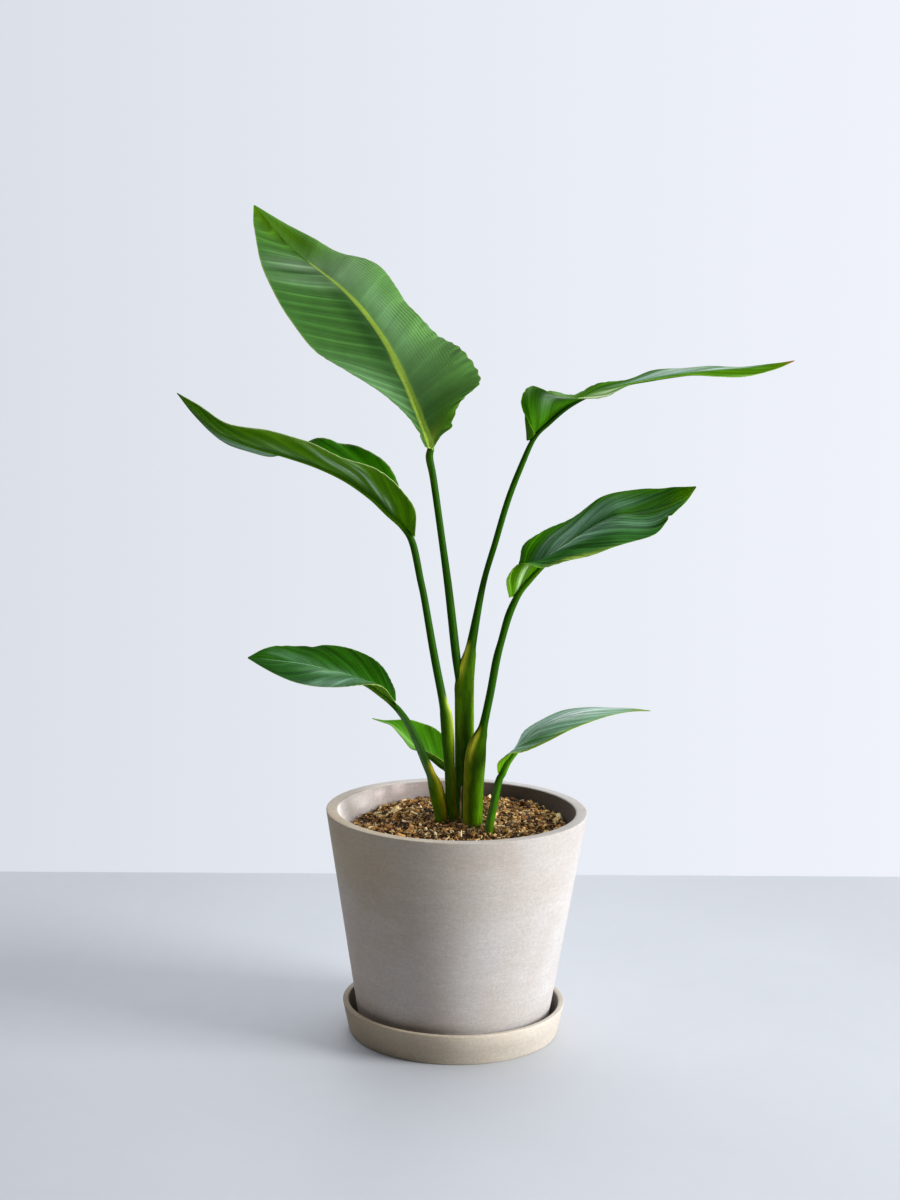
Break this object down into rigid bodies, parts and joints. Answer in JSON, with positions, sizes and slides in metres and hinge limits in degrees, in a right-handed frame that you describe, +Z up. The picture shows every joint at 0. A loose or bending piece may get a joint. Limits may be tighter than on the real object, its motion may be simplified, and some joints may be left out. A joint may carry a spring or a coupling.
{
  "type": "potted bird of paradise plant",
  "caption": "Young bird of paradise plant with broad leaves on long sheathed stalks, in a tapered round pot that stands on a matching saucer.",
  "frame": {"origin": "centre of the saucer's flat underside, where the plant stands on the floor", "axes": "+Z up along the pot's axis, -Y toward the viewer who sees the broad side of the leaf fan, +X to that viewer's right"},
  "size_m": [0.6862, 0.2994, 0.9433],
  "materials": {
    "saucer": "matte, fine sandy grain",
    "pot": "matte, faint cloudy mottling",
    "soil": "loose chips",
    "leaf": "satin green",
    "dry_sheath": "dry, matte"
  },
  "bodies": {
    "root": {"saucer": "saucer", "pot": "pot", "soil": "soil", "leaf_top": "leaf", "leaf_high_left": "leaf", "leaf_high_right": "leaf", "leaf_mid_right": "leaf", "leaf_low_left": "leaf", "leaf_low_back": "leaf", "leaf_low_right": "leaf", "dry_sheath": "dry_sheath"}
  },
  "joints": []
}
